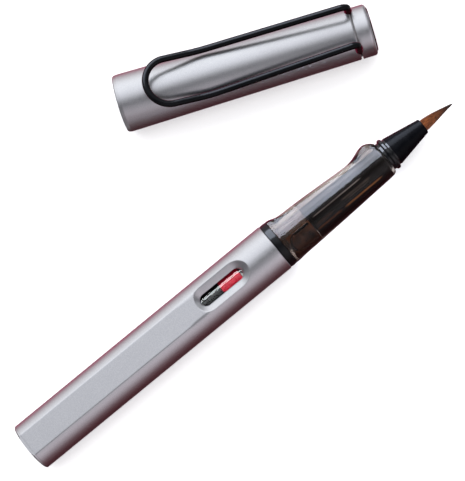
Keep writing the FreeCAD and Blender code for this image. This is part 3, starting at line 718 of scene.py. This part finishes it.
def core_mat():
    """the moulded ink feed: near-black ribs with warm ink-stained channels between them, and a painted highlight, a
    light grey band along the top rib
    """
    n = Nodes("core_moulding")
    sep = n.new("ShaderNodeSeparateXYZ")
    n.link(n.co, sep.inputs[0])
    y = n.math("SUBTRACT", PEN.y * MM, sep.outputs["Y"])
    z = n.math("SUBTRACT", sep.outputs["Z"], PEN.z * MM)
    a = n.math("MULTIPLY", n.math("ARCTAN2", y, z), 180 / math.pi)      # 0 at the top, growing towards the near side
    x = n.math("SUBTRACT", n.math("MULTIPLY", sep.outputs["X"], 1000.0), PEN.x)
    streak = n.noise(1.0, 3.0, 0.6, n.stretch(260, 5200, 5200))
    base = n.ramp(streak, [(0.30, (0.0035, 0.003, 0.003)), (0.70, (0.010, 0.008, 0.007))])

    def band(at, width, x0, x1, soft=1.2):
        d = n.math("ABSOLUTE", n.math("SUBTRACT", a, at))
        k = n.span(d, width, 0.35 * width, 0.0, 1.0)
        e0 = n.span(x, x0, x0 + soft, 0.0, 1.0)
        e1 = n.span(x, x1 - soft, x1, 1.0, 0.0)
        e = n.math("MULTIPLY", e0, e1)
        return n.math("MULTIPLY", n.math("MULTIPLY", k, e), n.span(streak, 0.30, 0.62, 0.35, 1.0))

    # painted highlight: the light grey band on the top rib stands in for a specular line
    tone = n.mix(band(12.0, 2.6, 29.5, 44.5), base, (0.30, 0.27, 0.25))
    tone = n.mix(band(30.0, 5.0, 37.0, 46.5), tone, (0.085, 0.066, 0.052))
    tone = n.mix(band(38.5, 3.2, 38.5, 46.0), tone, (0.060, 0.045, 0.036))
    tone = n.mix(band(60.0, 5.5, 37.0, 48.8), tone, (0.42, 0.17, 0.060))
    tone = n.mix(band(60.0, 6.5, 28.6, 36.5), tone, (0.16, 0.055, 0.020))
    tone = n.mix(band(42.0, 9.0, 29.0, 34.5), tone, (0.040, 0.019, 0.011))
    n.bump(streak, 0.25, 0.00002)
    return n.set(Base_Color=tone, Roughness=n.span(streak, 0.3, 0.7, 0.36, 0.5), Specular_IOR_Level=0.04)


def core():
    """the feed body in the grip: ribbed cylinder, shouldered nipple at the rear, socket for the head"""
    ribs = [(12.0, 2.4, 0.05), (30.0, 5.0, -0.14), (38.5, 3.0, -0.12), (60.0, 5.0, -0.16), (84.0, 4.0, -0.14), (-22.0, 5.0, -0.16), (-60.0, 6.0, -0.16)]

    def shape(x, th):
        s = min(1.0, max(0.0, (-math.cos(th) + 0.45) / 0.35))
        base = 3.34 + 0.16 * s * s * (3 - 2 * s)
        if x < 28.6 or x > 51.3:
            return 1.0
        if not 29.2 < x < 50.4:
            return base / 3.43
        deg = math.degrees(math.atan2(-math.cos(th), math.sin(th)))
        e = min(1.0, (x - 29.2) / 0.8, (50.4 - x) / 0.8)
        d = 0.0
        for at, w, h in ribs:
            for off in (0, 360, -360):
                d += h * math.exp(-((deg - at - off) / w) ** 2)
        return (base + e * d * 0.6) / 3.43
    pts = [(22.0, 0.55), (22.0, 1.25), (28.5, 1.25), (28.5, 3.10), (28.72, 3.43)]
    pts += [(float(x), 3.43) for x in np.linspace(29.0, 50.6, 44)]
    pts += [(51.2, 3.43), (51.4, 3.16), (51.4, 2.25), (41.0, 2.25), (41.0, 0.55)]
    radii = [0.0] * len(pts)
    radii[1] = 0.25
    radii[2] = 0.5
    lathe("core_body", pts, radii, pen, "black_plastic", "section", ["section_core"], seg=240,
          wobble=lambda x, th: shape(x, th), sharp=40.0, mat=core_mat())


def tuft():
    """the point of the brush, strand by strand over a dark heart, with a slight set to the near side"""
    rnd = random.Random(7)
    env = [(63.0, 1.44), (64.35, 1.47), (66.0, 1.31), (67.5, 1.09), (69.0, 0.81), (70.5, 0.53), (71.7, 0.32), (72.4, 0.16), (72.8, 0.03)]

    def radius(x):
        return smooth_table(env, x)[0]

    def bend(x):
        t = max(0.0, (x - 64.5) / 8.3)
        return -0.34 * t * t

    verts, faces = [], []

    def tube(path, rads, sides=5):
        rings = []
        for (x, y, z), r in zip(path, rads):
            start = len(verts)
            for k in range(sides):
                a = 2 * math.pi * k / sides
                verts.append((x, y + r * math.cos(a), z + r * math.sin(a)))
            rings.append(start)
        for a, b in zip(rings[:-1], rings[1:]):
            for k in range(sides):
                k2 = (k + 1) % sides
                faces.append((a + k, b + k, b + k2, a + k2))
        verts.append(path[0])
        verts.append(path[-1])
        for k in range(sides):
            k2 = (k + 1) % sides
            faces.append((len(verts) - 2, rings[0] + k, rings[0] + k2))
            faces.append((len(verts) - 1, rings[-1] + k2, rings[-1] + k))

    heart = [(63.0, 0.0, 0.0)] + [(float(x), bend(float(x)), 0.0) for x in np.linspace(63.1, 72.2, 22)]
    tube(heart, [radius(63.0) - 0.1] + [max(0.02, radius(p[0]) - 0.09) for p in heart[1:]], 28)
    for i in range(330):
        a = i * 2.399963 + rnd.uniform(-0.1, 0.1)
        depth = 1.0 if i % 3 else rnd.uniform(0.86, 0.98)
        end = 72.78 - (rnd.random() ** 1.7) * 2.3
        twist = rnd.uniform(-0.10, 0.10)
        thick = rnd.uniform(0.045, 0.075)
        path, rads = [], []
        steps = 15
        for k in range(steps + 1):
            f = k / steps
            x = 63.0 + (end - 63.0) * f
            r = max(0.0, radius(x) - thick * (1 - 0.8 * f)) * depth
            aa = a + twist * f + 0.02 * math.sin(9 * f + i)
            path.append((x, bend(x) + r * math.cos(aa), r * math.sin(aa)))
            rads.append(thick * (1.0 - 0.86 * f ** 2.2))
        tube(path, rads)
    make("hair_tuft", verts, faces, pen, "brush_hair", "brush_head", ["brush_tuft"], sharp=60.0, weighted=False)


grip()
core()
tuft()
STAINED = moulded("stained_mouth", (0.010, 0.005, 0.003), (0.085, 0.034, 0.016), 0.34, 1400, 1.5, 0.08)
NODES["converter_mouth"].data.materials.clear()
NODES["converter_mouth"].data.materials.append(STAINED)
lathe("converter_barrel", [(-22.0, 3.0), (-22.0, 3.65), (28.2, 3.65), (28.2, 3.0)], [0.0, 0.15, 0.30, 0.0], pen,
      "clear_plastic", "converter", ["converter_tube"], seg=200)
lathe("seal_body", [(2.4, 1.22), (2.4, 2.86), (2.62, 2.95), (3.5, 2.95), (3.9, 2.84), (6.6, 2.84), (7.0, 2.95), (7.88, 2.95), (8.1, 2.80), (8.1, 0.0), (6.6, 0.0), (6.6, 1.22)],
      [0.0, 0.08, 0.10, 0.15, 0.15, 0.15, 0.15, 0.10, 0.10, 0.0, 0.0, 0.0], pen, "red_seal", "piston", ["piston_seal"], seg=160)
# a film of old ink left in the front of the converter
lathe("ink_film", [(20.6, 2.80), (20.6, 2.96), (23.95, 2.96), (23.95, 2.80)], 0.0, pen, "clear_plastic", "converter", (), seg=96,
      wobble=lambda x, a: 1.0 - 0.012 * (0.5 + 0.5 * math.sin(3 * a + 1.7 * x)), mat=STAINED)


def sleeve():
    """a dark ink-stained liner on the near side of the bore, behind the moulded tongue"""
    verts, faces = [], []
    xs = np.linspace(21.3, 28.42, 40)
    degs = np.linspace(9, 148, 60)
    for r in (3.89, 3.74):
        for x in xs:
            for d in degs:
                a = math.radians(d)
                cut = 1.2 * max(0.0, 1 - (x - 21.3) / 1.6) ** 2
                verts.append((float(x) + cut * math.sin(3 * a) * 0.3, -r * math.sin(a), r * math.cos(a)))
    nx, nd = len(xs), len(degs)
    for layer in (0, nx * nd):
        for i in range(nx - 1):
            for j in range(nd - 1):
                a = layer + i * nd + j
                faces.append((a, a + 1, a + nd + 1, a + nd))
    edge = [i * nd for i in range(nx)] + [(nx - 1) * nd + j for j in range(1, nd)]
    edge += [i * nd + nd - 1 for i in range(nx - 2, -1, -1)] + [j for j in range(nd - 2, 0, -1)]
    for k in range(len(edge)):
        a, b = edge[k], edge[(k + 1) % len(edge)]
        faces.append((a, b, b + nx * nd, a + nx * nd))
    make("ink_liner", verts, faces, pen, "black_plastic", "section", (), sharp=40.0, weighted=False, mat=STAINED)


sleeve()
SATIN = moulded("satin_black", (0.0012, 0.0013, 0.0018), (0.0026, 0.0028, 0.0036), 0.22, 3200, 1.5, 0.05)
RIDGE = gloss_black("gloss_black_ridge", 0.07, 0.0, 0.42)
lathe("cone_body", [(54.4, 2.2), (54.4, 3.72), (63.95, 1.95), (63.95, 1.72), (58.9, 1.72), (58.9, 2.2)],
      [0.0, 0.14, 0.16, 0.06, 0.0, 0.0], pen, "gloss_black", "brush_head", ["brush_cone"], seg=160, sharp=50.0, mat=SATIN)
lathe("cone_collar", [(52.14, 2.2), (52.14, 3.78), (52.76, 3.78), (52.96, 4.12), (53.14, 4.22), (53.58, 4.22), (53.82, 4.08), (53.94, 3.62),
                      (54.4, 3.62), (54.4, 2.2)],
      [0.0, 0.08, 0.06, 0.05, 0.10, 0.10, 0.07, 0.08, 0.04, 0.0], pen, "gloss_black", "brush_head", ["head_collar"], seg=160, sharp=50.0, mat=RIDGE)

# collar ring
lathe("collar_band", [(18.52, 4.65), (18.52, 5.98), (18.62, 6.06), (19.44, 6.12), (20.26, 6.06), (20.36, 5.98), (20.36, 4.65)],
      [0.0, 0.06, 0.10, 0.8, 0.10, 0.06, 0.0], pen, "gloss_black", "collar", ["collar_ring"], seg=160, sharp=50.0)


# ---- floor and light ------------------------------------------------------------------------
def floor():
    me = bpy.data.meshes.new("studio_floor")
    s = 1.6
    n = 24
    verts = [(-s + 2 * s * i / n, -s + 2 * s * j / n, 0.0) for i in range(n + 1) for j in range(n + 1)]
    faces = [(i * (n + 1) + j, (i + 1) * (n + 1) + j, (i + 1) * (n + 1) + j + 1, i * (n + 1) + j + 1)
             for i in range(n) for j in range(n)]
    me.from_pydata(verts, [], faces)
    o = bpy.data.objects.new("studio_floor", me)
    bpy.context.scene.collection.objects.link(o)
    n = Nodes("studio_floor")
    tone = n.ramp(n.noise(30, 2.0, 0.5), [(0.3, (0.90, 0.90, 0.90)), (0.7, (0.93, 0.93, 0.93))])
    n.bsdf.inputs["Emission Color"].default_value = (1.0, 1.0, 1.0, 1.0)
    me.materials.append(n.set(Base_Color=tone, Roughness=0.9, Specular_IOR_Level=0.0, Emission_Strength=0.35))
    o.location.z = -0.00002
    o.visible_glossy = False
    o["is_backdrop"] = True


floor()

world = bpy.data.worlds.new("studio_world")
bpy.context.scene.world = world
world.use_nodes = True
wt = world.node_tree
bg = next(n for n in wt.nodes if n.type == "BACKGROUND")


def wnode(kind, op=None):
    n = wt.nodes.new(kind)
    if op:
        n.operation = op
    return n


def wmath(op, a, b=None):
    n = wnode("ShaderNodeMath", op)
    for k, v in enumerate((a, b)):
        if v is None:
            continue
        if isinstance(v, (int, float)):
            n.inputs[k].default_value = v
        else:
            wt.links.new(v, n.inputs[k])
    return n.outputs[0]


# a long soft panel on the +Y side, a weaker one opposite, a gap overhead, a dark surround below
sep = wnode("ShaderNodeSeparateXYZ")
wt.links.new(wnode("ShaderNodeTexCoord").outputs["Generated"], sep.inputs[0])
across = wmath("ADD", wmath("MULTIPLY", sep.outputs["X"], 0.20), wmath("MULTIPLY", sep.outputs["Y"], 0.98))
angle = wmath("ARCTAN2", across, sep.outputs["Z"])
ramp = wnode("ShaderNodeValToRGB")
wt.links.new(wmath("ADD", wmath("MULTIPLY", angle, 0.5 / math.pi), 0.5), ramp.inputs["Fac"])
WORLD = [(-180, (0.06, 0.010, 0.016)), (-128, (0.09, 0.018, 0.024)), (-104, (0.17, 0.075, 0.085)), (-84, (0.50, 0.42, 0.45)),
         (-66, (0.86, 0.78, 0.84)), (-50, (0.84, 0.80, 0.85)), (-34, (0.50, 0.49, 0.52)), (-20, (0.13, 0.13, 0.14)), (-8, (0.22, 0.22, 0.23)),
         (3, (0.84, 0.855, 0.90)), (16, (1.20, 1.22, 1.30)), (36, (1.38, 1.41, 1.47)), (62, (1.50, 1.53, 1.58)), (84, (1.15, 1.16, 1.19)),
         (100, (0.80, 0.74, 0.76)), (116, (0.55, 0.40, 0.44)), (130, (0.46, 0.12, 0.19)), (146, (0.48, 0.030, 0.11)), (168, (0.40, 0.02, 0.08)),
         (180, (0.10, 0.010, 0.022))]
els = ramp.color_ramp.elements
while len(els) < len(WORLD):
    els.new(0.5)
for e, (deg, c) in zip(els, WORLD):
    e.position = deg / 360 + 0.5
    e.color = (*c, 1.0)
side = wnode("ShaderNodeMapRange")
side.interpolation_type = "SMOOTHSTEP"
for k, v in zip(("From Min", "From Max", "To Min", "To Max"), (-0.95, 0.1, 0.30, 1.0)):
    side.inputs[k].default_value = v
wt.links.new(sep.outputs["X"], side.inputs["Value"])
low = wnode("ShaderNodeMapRange")
low.interpolation_type = "SMOOTHSTEP"
for k, v in zip(("From Min", "From Max", "To Min", "To Max"), (0.12, -0.12, 0.0, 1.0)):
    low.inputs[k].default_value = v
wt.links.new(sep.outputs["Z"], low.inputs["Value"])
far = wnode("ShaderNodeMapRange")
far.interpolation_type = "SMOOTHSTEP"
for k, v in zip(("From Min", "From Max", "To Min", "To Max"), (0.40, 0.60, 0.0, 1.0)):
    far.inputs[k].default_value = v
wt.links.new(wmath("ABSOLUTE", sep.outputs["X"]), far.inputs["Value"])
card = wnode("ShaderNodeMix")
card.data_type = "RGBA"
wt.links.new(wmath("MULTIPLY", low.outputs["Result"], far.outputs["Result"]), card.inputs[0])
wt.links.new(ramp.outputs["Color"], card.inputs[6])
card.inputs[7].default_value = (0.60, 0.58, 0.60, 1.0)
east = wnode("ShaderNodeMapRange")
east.interpolation_type = "SMOOTHSTEP"
for k, v in zip(("From Min", "From Max", "To Min", "To Max"), (0.45, 0.85, 1.0, 0.45)):
    east.inputs[k].default_value = v
wt.links.new(sep.outputs["X"], east.inputs["Value"])
wt.links.new(card.outputs[2], bg.inputs["Color"])
wt.links.new(wmath("MULTIPLY", side.outputs["Result"], east.outputs["Result"]), bg.inputs["Strength"])


def softbox(name, place, aim, size_x, size_y, power, colour=(1, 1, 1)):
    ld = bpy.data.lights.new(name, "AREA")
    ld.shape = "RECTANGLE"
    ld.size, ld.size_y = size_x, size_y
    ld.energy = power
    ld.color = colour
    o = bpy.data.objects.new(name, ld)
    bpy.context.scene.collection.objects.link(o)
    o.location = place
    d = Vector(aim) - Vector(place)
    o.rotation_mode = "QUATERNION"
    o.rotation_quaternion = d.to_track_quat("-Z", "Y")
    return o


fill = softbox("top_fill", (0.03, 0.03, 0.95), (0, 0, 0), 1.5, 1.5, 9.0)
fill.visible_glossy = False
# the window panel that glossy plastic mirrors; the satin metal has the broad panels above
window = softbox("window_softbox", (0.06, 0.47, 0.36), (0.02, 0, 0.01), 0.75, 0.56, 13.0, (0.84, 0.93, 1.12))
glass_window = softbox("window_on_smoke", (0.0, 0.47, 0.30), (0.03, 0, 0.01), 1.05, 0.78, 25.0, (0.86, 0.94, 1.14))
slot_window = softbox("window_on_converter", (0.0, 0.26, 0.46), (0.0, -0.02, 0.01), 0.6, 0.30, 16.0, (0.92, 1.0, 1.04))
slot_window.visible_transmission = False
slot_window.visible_diffuse = False
glass_window.visible_diffuse = False
glass_window.data.use_shadow = False
# the two halves of the product are lit as if each stood alone
for node in ("cap_tube", "cap_crown", "inner_cap", "clip_anchor", "cap_finial", "cap_screw"):
    NODES[node].visible_glossy = False


def only_on(light, *finishes):
    group = bpy.data.collections.new(light.name + "_lit")
    for o in bpy.context.scene.objects:
        if o.type == "MESH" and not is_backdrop(o) and o.data.materials[0].name in finishes:
            group.objects.link(o)
    light.light_linking.receiver_collection = group


only_on(window, "gloss_black", "gloss_black_ridge", "black_wire", "black_plastic", "satin_black")
only_on(glass_window, "smoked_plastic")
only_on(slot_window, "clear_plastic")
